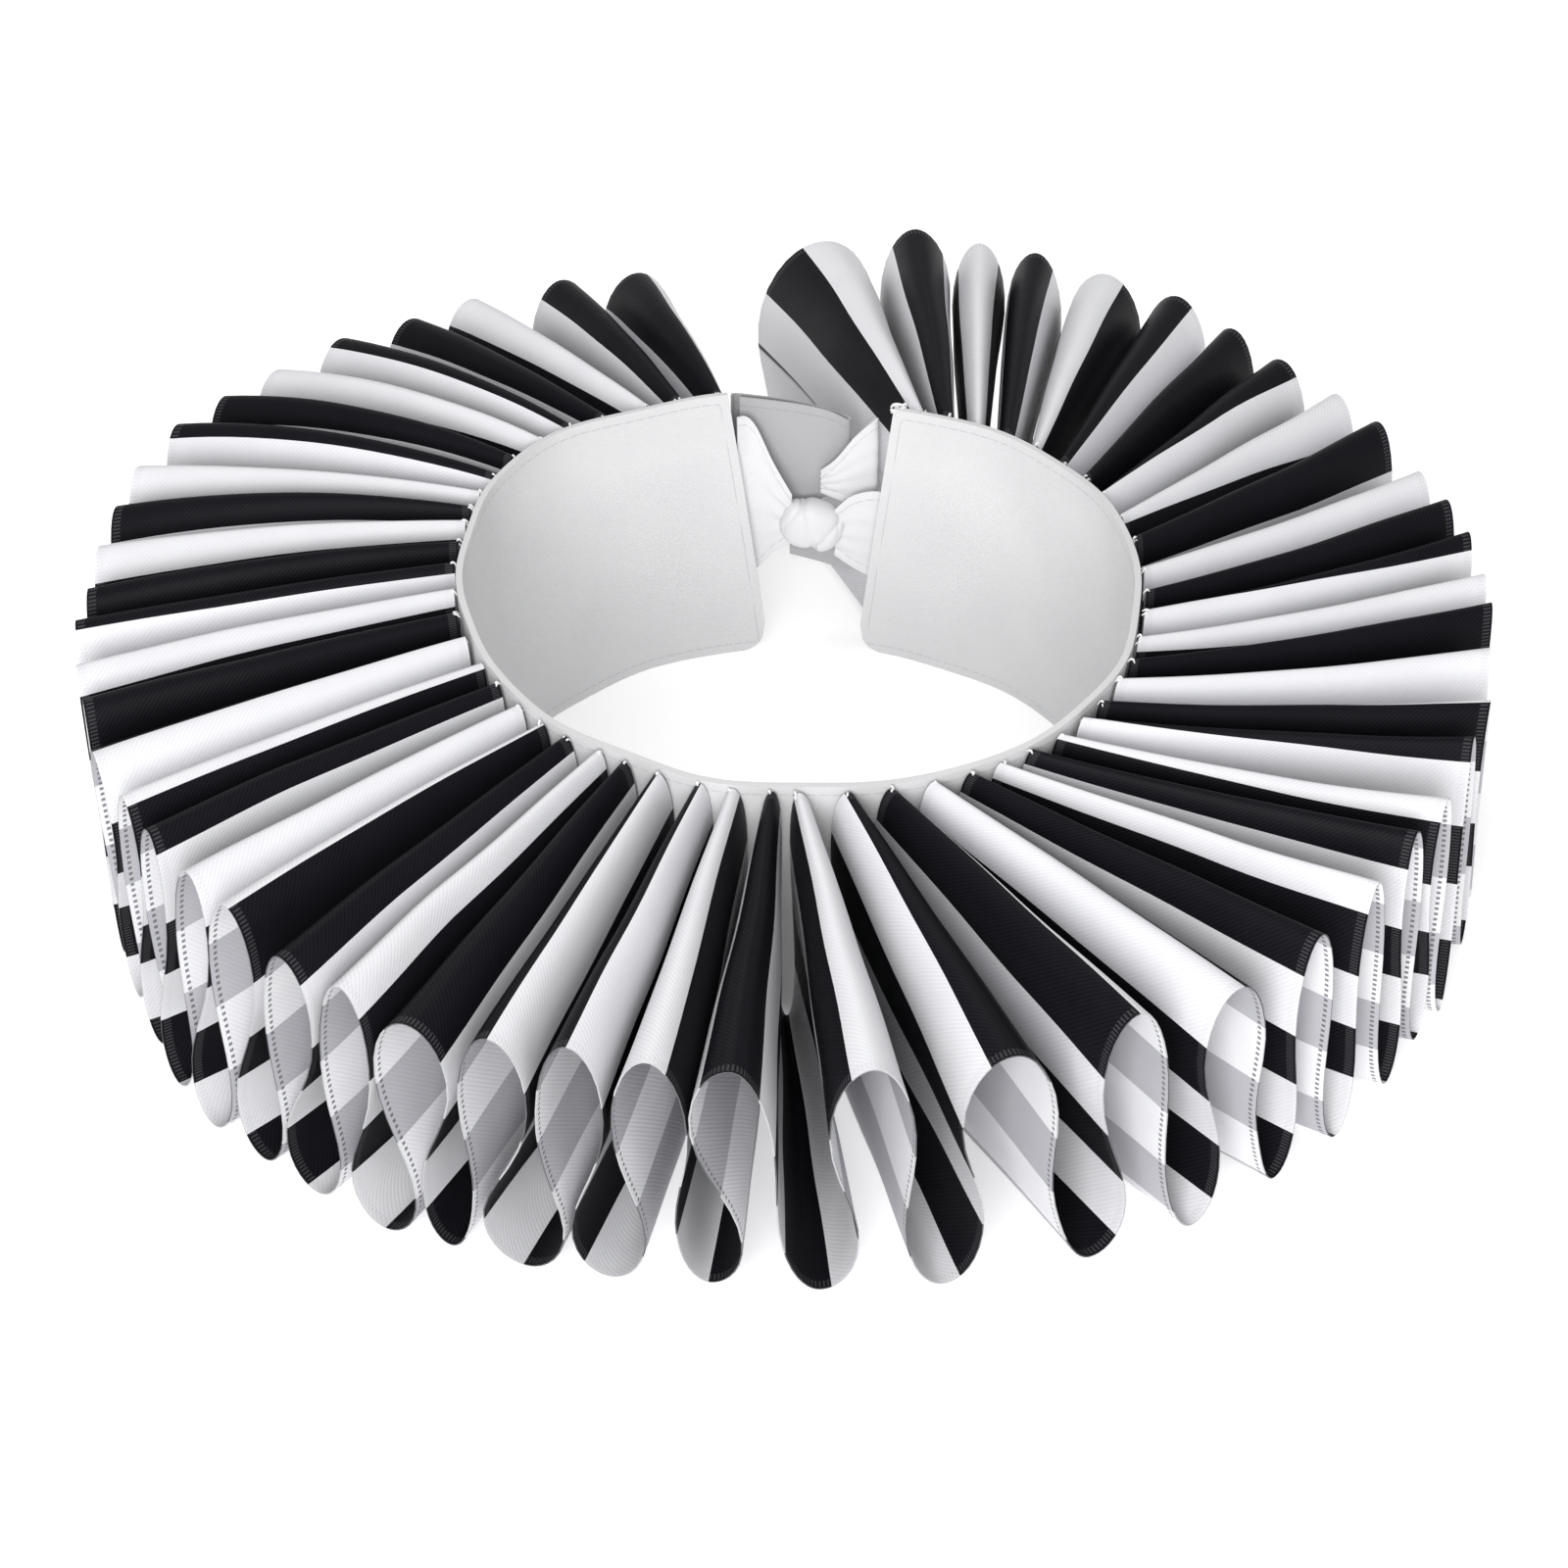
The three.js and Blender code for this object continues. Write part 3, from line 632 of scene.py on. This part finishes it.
def limit_widths(centres, half_widths, reach):
    """Half widths in degrees that leave the cloth its own thickness and some air."""
    gap = np.degrees((RIBBON_WALL + RIBBON_AIR) / reach)
    room = np.diff(centres) - np.maximum(gap[:-1], gap[1:])
    shares = np.minimum(room / (half_widths[:-1] + half_widths[1:]), 1)
    shares = np.concatenate([[1], shares, [1]])
    return half_widths * np.minimum(shares[:-1], shares[1:])


def free_edge(columns, first, u):
    """Angle of the free edge, where u runs from 0 at one ridge to 1 at the next."""
    ridges, reach = columns["outer"], columns["reach"]
    valleys = (ridges[:-1] + ridges[1:]) / 2 + columns["valley"][:-1]
    lobes = limit_widths(ridges, columns["lobe"], reach)
    loops = limit_widths(valleys, columns["loop"][:-1], reach[:-1])
    here, valley, following = ridges[first + 1], valleys[first + 1], ridges[first + 2]
    left = u < 0.5
    share = 2 * np.where(left, u, 1 - u)
    near = np.where(left, here, following)
    lobe = np.where(left, lobes[first + 1], lobes[first + 2])
    step = valley - near
    span = np.abs(step)

    # The middle half of the way goes smoothly from the ridge's width to the valley's
    blend = np.clip((share - 0.25) / 0.5, 0, 1)
    blend = blend ** 2 * (3 - 2 * blend)
    swelling = mix(swell(share, lobe / span), swell(share, loops[first + 1] / span), blend)
    return near + step * (share + swelling)


def fold_share(u, lobe, pitch):
    """Share of the way to the next ridge at the band: folds swell past both their turns."""
    widest = 0.5 - (RIBBON_WALL + RIBBON_AIR) / (2 * pitch)
    size = np.maximum((np.minimum(lobe, widest) - SWELL_AT_REST) / WIDTH_PER_SWELL, 0)
    return u + size * np.sin(4 * np.pi * u) - PINCH_AT_BAND * np.sin(2 * np.pi * u)


def ruffle_points(places, across):
    """A grid of the ruffle's points: places count ridges from 0, across runs from 0 at the
    band to 1 at the free edge."""
    columns = ruffle_columns()
    first = np.floor(np.minimum(places, len(RIDGE_ROWS) - 0.5)).astype(int)
    u = places - first
    here, following = ({name: column[first + step] for name, column in columns.items()}
                       for step in (1, 2))
    blend = {name: mix(here[name], following[name], u) for name in columns}
    rise = (1 + np.cos(2 * np.pi * u)) / 2
    rounded = u + CREST_ROUNDING["once"] * np.sin(2 * np.pi * u)
    rounded = rounded + CREST_ROUNDING["twice"] * np.sin(4 * np.pi * u)
    outer_rise = (1 + np.cos(2 * np.pi * rounded)) / 2

    inner_pitch = np.radians(following["inner"] - here["inner"]) * BAND_MEAN_RADIUS
    inner = mix(here["inner"], following["inner"], fold_share(u, LOBE_AT_BAND, inner_pitch))
    seam = band_point(inner, mix(VALLEY_AT_BAND, RIDGE_AT_BAND, rise), BAND_WALL / 2 + SEAM_GAP)

    belly = END_BELLY * np.sin(2 * np.pi * u) * (following["outer"] - here["outer"])
    outer = free_edge(columns, first, u) + np.where(first == len(RIDGE_ROWS) - 1, belly, 0)
    reach = mix(here["foot"], blend["reach"], rise)
    turn = np.radians(outer)
    height = mix(VALLEY_AT_EDGE, RIDGE_AT_EDGE + blend["lift"], outer_rise)
    edge = np.stack([reach * np.sin(turn), -reach * np.cos(turn), height], axis=-1) + CENTRE

    share = across[None, :, None]
    points = mix(seam[:, None, :], edge[:, None, :], share)
    arch = 4 * across[None, :] * (1 - across[None, :])
    points[:, :, 2] += (blend["bow"] * rise)[:, None] * arch
    sideways = np.stack([np.cos(turn), np.sin(turn), 0 * turn], axis=-1)
    points += cloth_sway(places, across)[:, :, None] * sideways[:, None, :]
    return points


def cloth_sway(places, across):
    """How far the cloth sways sideways: long, soft waves that differ from fold to fold."""
    count = len(RIDGE_ROWS) + 2
    sway = np.zeros((len(places), len(across)))
    for waves, size in SWAY.items():
        starts = random.uniform(0, 2 * np.pi, count)
        sizes = random.uniform(0.3, 1.0, count) * size
        knots = np.arange(count) - 1
        start, height = np.interp(places, knots, starts), np.interp(places, knots, sizes)
        wave = np.sin(2 * np.pi * waves * across[None, :] + start[:, None])
        sway += height[:, None] * (wave - np.sin(start)[:, None])
    return sway * np.minimum(across, 1 - 0.6 * across)[None, :]


def stripe_cycles(places, points, across):
    """The stripe coordinate at each point, which has the phases of the rows at each ridge,
    and the ribbon's length."""
    middle = points[:, STEPS_ACROSS * 3 // 4]
    steps = np.linalg.norm(np.diff(middle, axis=0), axis=1)
    lengths = np.concatenate([[0], np.cumsum(steps)])
    ridges = np.arange(len(RIDGE_ROWS))
    at_ridge = np.interp(ridges, places, lengths)
    columns = ruffle_columns()
    phases, phases_in = columns["phase"][1:-1], columns["phase_in"][1:-1]
    cycles = [phases[0]]
    for here, following, length in zip(phases, phases[1:], np.diff(at_ridge)):
        extra = following - here
        whole = round(length / STRIPE_PERIOD - extra)
        cycles.append(cycles[-1] + whole + extra)
    ends = np.array([lengths[0], lengths[-1]])
    past = (ends - at_ridge[[0, -1]]) / STRIPE_PERIOD
    known_lengths = np.concatenate([[ends[0]], at_ridge, [ends[1]]])
    known_cycles = np.concatenate([[cycles[0] + past[0]], cycles, [cycles[-1] + past[1]]])
    at_edge = np.interp(lengths, known_lengths, known_cycles)
    slants = (phases_in - phases + 0.5) % 1 - 0.5
    slant = np.interp(lengths, at_ridge, slants)
    return at_edge[:, None] + slant[:, None] * (1 - across)[None, :], lengths[-1]


def make_ruffle(face, reverse):
    count = len(RIDGE_ROWS) * STEPS_PER_FOLD + 1
    places = np.linspace(-0.5, len(RIDGE_ROWS) - 0.5, count)
    places = places - TURN_CROWDING * np.sin(4 * np.pi * places)
    across = np.linspace(0, 1, STEPS_ACROSS + 1)
    points = ruffle_points(places, across)
    cycles, length = stripe_cycles(places, points, across)
    uvs = {
        "cloth": np.stack(np.broadcast_arrays(cycles, across[None, :]), axis=-1),
        "folds": np.stack(np.broadcast_arrays(places[:, None], across[None, :]), axis=-1),
    }
    piece = cloth_wall("striped_ruffle", points, uvs, RIBBON_WALL, [face, reverse])
    seat(piece, "striped_satin", "ruffle_ribbon")


# Tie, knot and bow. Each row is one section: its middle, its half width and how far its
# width leans back from upright, in mm and degrees
SECTION_COLUMNS = ("x", "y", "z", "half", "lean")
TIE_WALL = 0.4 * MM
LEFT_STRAP = [
    (-10.9, 61.3, 36.6, 13.7, 7),
    (-9, 61.7, 33.5, 16.5, 7),
    (-7, 61.9, 32.2, 15.3, 6),
    (-3.8, 61.8, 30, 10.2, 3),
    (-0.2, 61.6, 27.6, 5.6, 0),
]
RIGHT_STRAP = [
    (8.4, 61.2, 24.6, 5.4, 0),
    (11.5, 60.3, 25.4, 8, 2),
    (15.2, 58.8, 25.8, 9.6, 3),
    (18.6, 57.7, 26, 9.8, 3),
]
LEFT_LOOP = [
    (-10.4, 66.6, 42.4, 10.2, 0),
    (-4, 66.6, 41, 10.8, 0),
    (2.4, 66.5, 39.4, 11.4, 0),
    (7.4, 66.8, 39.6, 9.6, 0),
    (10.8, 67.4, 39.8, 7.2, 0),
    (10.6, 68.4, 40, 7.2, 0),
    (5.5, 68.7, 40.2, 8.8, 0),
    (-1, 68.9, 40.8, 9.8, 0),
    (-7.6, 68.9, 41.4, 10.2, 0),
    (-11.4, 68.6, 42, 10.2, 0),
    (-12, 67.6, 42.2, 10.2, 0),
]
RIGHT_LOOP = [
    (5.6, 65.2, 34, 2.6, 0),
    (8.5, 64.3, 35.2, 4.6, 0),
    (12, 63.7, 37.2, 7.8, 0),
    (14.8, 63.3, 38.8, 9.4, 0),
    (16.2, 63.4, 39.4, 9.8, 0),
    (16.6, 64.1, 39.4, 9.8, 0),
    (15.8, 64.8, 39.2, 9.4, 0),
    (13.6, 65.3, 37.8, 7.6, 0),
    (11.4, 65.4, 36.2, 5.8, 0),
]
TAIL = [
    (-0.6, 65.5, 19, 2.4, 0),
    (4.4, 66.5, 18.4, 4, 0),
    (9.4, 65.8, 17.6, 4.4, 0),
    (14, 64, 17, 3.6, 0),
]

# Each part of the tie: its rows, its cloth, how deep its pleats are and at which end of
# the rows they are gathered
TIE_PARTS = {
    "tie_strap_left": (LEFT_STRAP, "tie_satin", 0.3 * MM, "end"),
    "tie_strap_right": (RIGHT_STRAP, "tie_satin", 0.35 * MM, "start"),
    # The bow's left loop and its tail take the tie satin with painted shade
    "bow_loop_left": (LEFT_LOOP, "tie_satin_painted_shade", 0, None),
    "bow_loop_right": (RIGHT_LOOP, "tie_satin", 0.12 * MM, "start"),
    "bow_tail": (TAIL, "tie_satin_painted_shade", 0, None),
}
TIE_STEPS = {"along": 89, "across": 48}
PLEAT_HALF_WAVES = 9
PLEAT_AWAY_FROM_GATHER = 0.15

# The knot is a rounded block whose right end is the lower one. Its creases are waves round
# its long axis. Each row is how deep they are, how closely they follow each other, how far
# they slant and where they start
KNOT = {"x": 3.8, "y": 61.9, "z": 26, "half_x": 6.4, "half_y": 3.8, "half_z": 5.4,
        "tilt": -20, "squareness": 0.8}
KNOT_STEPS = {"rings": 72, "sides": 96}
KNOT_CAP = 0.12
CREASE_COLUMNS = ("depth", "turns", "slant", "start")
CREASE_ROWS = [
    (0.17, 2.4, 0.8, 0.4),
    (0.11, 3.1, -1.1, 1.2),
]


def pleat_relief(across, gather, depth):
    """How far unevenly spaced pleats stand out of the cloth. Gather runs up to 1 at the end
    where they are deepest."""
    folds = np.sin(PLEAT_HALF_WAVES * np.pi * across + 0.8 * np.sin(3 * across))
    fade = np.sin(np.pi * across) ** 0.4
    depths = depth * mix(PLEAT_AWAY_FROM_GATHER, 1, gather ** 1.5)
    return depths[:, None] * (folds * fade)[None, :]


def make_tie_part(node, rows, material, pleats, gathered_at):
    table = np.array(rows, dtype=float)
    columns = {column: table[:, place] for place, column in enumerate(SECTION_COLUMNS)}
    middle = table[:, :3] * MM
    half = columns["half"][:, None] * MM
    lean = np.radians(columns["lean"])
    width = np.stack([0 * lean, np.sin(lean), np.cos(lean)], axis=-1)
    places = np.linspace(0, len(rows) - 1, TIE_STEPS["along"] + 1)
    low = smooth_line(middle - width * half, places)
    high = smooth_line(middle + width * half, places)
    across = np.linspace(0, 1, TIE_STEPS["across"] + 1)
    points = mix(low[:, None, :], high[:, None, :], across[None, :, None]) + CENTRE
    centre = points[:, len(across) // 2]
    along = np.concatenate([[0], np.cumsum(np.linalg.norm(np.diff(centre, axis=0), axis=1))])
    to_end = along / along[-1]
    gather = {"start": 1 - to_end, "end": to_end}.get(gathered_at, 0 * to_end)
    points += grid_normals(points) * pleat_relief(across, gather, pleats)[:, :, None]
    widths = np.linalg.norm(high - low, axis=1)[:, None]
    flat_across = widths * (across[None, :] - 0.5)
    uvs = {
        "cloth": np.stack(np.broadcast_arrays(along[:, None], flat_across), axis=-1),
        "edges": np.stack([widths * across[None, :], widths * (1 - across)[None, :]], axis=-1),
    }
    piece = cloth_wall(node + "_cloth", points, uvs, TIE_WALL, [material])
    seat(piece, "tie_satin", node)


def knot_creases(polar, turn):
    """How far the knot's creases draw its surface in, as a share of its radius."""
    depth = 0
    for row in CREASE_ROWS:
        crease = dict(zip(CREASE_COLUMNS, row))
        wave = crease["turns"] * polar + crease["slant"] * np.sin(turn) + crease["start"]
        depth = depth + crease["depth"] * (1 - np.abs(np.sin(wave))) ** 3
    return depth * np.sin(polar)


def make_knot(material):
    """Cloth wrapped round the straps: its creases run slantwise round its own long axis."""
    rings, sides = KNOT_STEPS["rings"], KNOT_STEPS["sides"]
    polar = np.linspace(KNOT_CAP, np.pi - KNOT_CAP, rings)[:, None]
    turn = np.linspace(0, 2 * np.pi, sides, endpoint=False)[None, :]
    ball = np.stack(np.broadcast_arrays(
        np.cos(polar), np.sin(polar) * np.cos(turn), np.sin(polar) * np.sin(turn)), axis=-1)
    drawn = np.sign(ball) * np.abs(ball) ** KNOT["squareness"]
    drawn[..., 1:] *= (1 - knot_creases(polar, turn))[..., None]
    sizes = np.array([KNOT["half_x"], KNOT["half_y"], KNOT["half_z"]]) * MM
    place = np.array([KNOT["x"], KNOT["y"], KNOT["z"]]) * MM + CENTRE
    level = drawn * sizes
    right, up = level[..., 0], level[..., 2]
    tilt = math.radians(KNOT["tilt"])
    tilted_right = right * math.cos(tilt) - up * math.sin(tilt)
    tilted_up = right * math.sin(tilt) + up * math.cos(tilt)
    points = np.stack([tilted_right, level[..., 1], tilted_up], axis=-1) + place
    points = points.reshape(-1, 3)
    flat = points[:, [0, 2]]
    uvs = {"cloth": flat, "edges": np.ones_like(flat)}
    faces = tube_faces(rings, sides)
    piece = new_piece("bow_knot_cloth", points, faces, [material], uvs=uvs)
    seat(piece, "tie_satin", "bow_knot")


# Threads that hold the gathers. None of them runs in the direction SIDEWAYS

RIDGE_THREADS = {"count": 2, "radius": 0.22 * MM}
TUFT_THREADS = {"count": 9, "radius": 0.32 * MM, "spread": 1.6 * MM}
THREAD_STEPS = {"along": 8, "sides": 8}
SIDEWAYS = np.array([0.31, 0.22, 0.92])


def tube(points, radius, sides):
    """Vertices of a closed thread along the points, thinner towards its ends."""
    heading = unit(np.gradient(points, axis=0))
    first = unit(np.cross(heading, SIDEWAYS))
    second = np.cross(heading, first)
    turn = np.linspace(0, 2 * np.pi, sides, endpoint=False)
    taper = np.sqrt(np.sin(np.linspace(0.06, 0.94, len(points)) * np.pi))[:, None, None]
    ring = first[:, None, :] * np.cos(turn)[None, :, None]
    ring = ring + second[:, None, :] * np.sin(turn)[None, :, None]
    return (points[:, None, :] + radius * taper * ring).reshape(-1, 3)


def make_gather_stitches(material):
    """A small loop of thread over the inner end of each ridge, and a tuft at the right end."""
    bends = np.linspace(0, 1, THREAD_STEPS["along"] + 1)[:, None]
    quads = tube_faces(len(bends), THREAD_STEPS["sides"])
    vertices, faces = [], []

    def add_thread(start, end, bulge, radius):
        arch = bulge * 4 * bends * (1 - bends)
        base = sum(len(part) for part in vertices)
        vertices.append(tube(mix(start, end, bends) + arch, radius, THREAD_STEPS["sides"]))
        faces.extend([[corner + base for corner in face] for face in quads])

    for row in RIDGE_ROWS:
        angle = row[0]
        turn = math.radians(angle)
        outwards = np.array([math.sin(turn), -math.cos(turn), 0])
        along = np.array([math.cos(turn), math.sin(turn), 0])
        tip = band_point(angle, RIDGE_AT_BAND, BAND_WALL / 2 + SEAM_GAP)
        for _ in range(RIDGE_THREADS["count"]):
            shift = along * random.uniform(-0.5, 0.5) * MM - [0, 0, random.uniform(0.2, 1.4) * MM]
            start = tip + shift + outwards * random.uniform(0.3, 0.9) * MM
            end = tip + shift - outwards * 0.5 * MM + along * random.uniform(-0.6, 0.6) * MM
            bulge = np.array([0, 0, random.uniform(0.5, 1.0) * MM]) + outwards * 0.2 * MM
            add_thread(start, end, bulge, RIDGE_THREADS["radius"])

    corner = band_point(BAND_RIGHT_END["top"] - 0.6, BAND_HEIGHT - 0.8 * MM)
    spread = TUFT_THREADS["spread"]
    for _ in range(TUFT_THREADS["count"]):
        start = corner + random.uniform(-spread, spread, 3) * [1, 0.7, 0.4]
        end = corner + random.uniform(-spread, spread, 3) * [1, 0.7, 0.4]
        bulge = random.uniform(-1.2, 1.2, 3) * MM * [1, 0.8, 0.2] + np.array([0, 0, 0.5 * MM])
        add_thread(start, end, bulge, TUFT_THREADS["radius"])
    piece = new_piece("gather_stitches", np.concatenate(vertices), faces, [material])
    seat(piece, "band_cotton")


# Floor, lights and camera

FLOOR = {"half_size": 6.0, "colour": (0.93, 0.93, 0.93, 1), "roughness": 0.9, "glow": 0.35}
WHITE_LIGHT = (1, 1, 1, 1)
SKY_STRENGTH = 0.6
LIGHT_AIM = (0, 0, 0.03)

# Each light's place, its size and its power
AREA_LIGHTS = {
    "key_light": ((-0.18, -1.3, 0.6), 0.9, 18),
    "back_light": ((-0.2, 0.8, 1.1), 1.0, 4.5),
}


def make_floor():
    shader = Shader("pale_floor")
    shader.principled.inputs["Base Color"].default_value = FLOOR["colour"]
    shader.principled.inputs["Roughness"].default_value = FLOOR["roughness"]
    shader.principled.inputs["Emission Color"].default_value = WHITE_LIGHT
    shader.principled.inputs["Emission Strength"].default_value = FLOOR["glow"]
    size = FLOOR["half_size"]
    corners = np.array([[-size, -size, 0], [size, -size, 0], [size, size, 0], [-size, size, 0]])
    floor = new_piece("floor", corners, [(0, 1, 2, 3)], [shader.material])


def make_area_light(name, place, size, power):
    data = bpy.data.lights.new(name, "AREA")
    data.shape = "DISK"
    data.size = size
    data.energy = power
    light = bpy.data.objects.new(name, data)
    light.location = place
    to_aim = Vector(LIGHT_AIM) - Vector(place)
    light.rotation_euler = to_aim.to_track_quat("-Z", "Y").to_euler()
    bpy.context.scene.collection.objects.link(light)


def make_lights():
    world = bpy.data.worlds.new("studio")
    world.use_nodes = True
    background = world.node_tree.nodes["Background"]
    background.inputs["Color"].default_value = WHITE_LIGHT
    background.inputs["Strength"].default_value = SKY_STRENGTH
    bpy.context.scene.world = world
    for name, (place, size, power) in AREA_LIGHTS.items():
        make_area_light(name, place, size, power)


def make_camera():
    data = bpy.data.cameras.new("photo_camera")
    data.sensor_width = SENSOR
    data.lens = FOCAL_PIXELS / PHOTO_PIXELS * SENSOR
    data.shift_x = (PHOTO_PIXELS / 2 - CENTRE_PIXEL[0]) / PHOTO_PIXELS
    data.shift_y = (CENTRE_PIXEL[1] - PHOTO_PIXELS / 2) / PHOTO_PIXELS
    data.clip_start = CAMERA_CLIP_START
    camera = bpy.data.objects.new("photo_camera", data)
    back = Vector((0, -math.cos(CAMERA_ELEVATION), math.sin(CAMERA_ELEVATION)))
    camera.location = Vector(CENTRE) + back * CAMERA_DISTANCE
    camera.rotation_euler = back.to_track_quat("Z", "Y").to_euler()
    bpy.context.scene.collection.objects.link(camera)
    bpy.context.scene.camera = camera


bpy.context.scene.view_settings.view_transform = "Standard"
make_camera()
make_lights()
make_floor()
face_satin = ribbon_material("striped_satin_face", "face")
reverse_satin = ribbon_material("striped_satin_reverse", "reverse")
plain_cloths = {name: plain_cloth_material(name) for name in PLAIN_CLOTHS}
make_neckband(plain_cloths["band_cotton"])
make_ruffle(face_satin, reverse_satin)
make_knot(plain_cloths["tie_satin"])
for node, (rows, cloth, pleats, gathered_at) in TIE_PARTS.items():
    make_tie_part(node, rows, plain_cloths[cloth], pleats, gathered_at)
make_gather_stitches(thread_material("sewing_thread"))
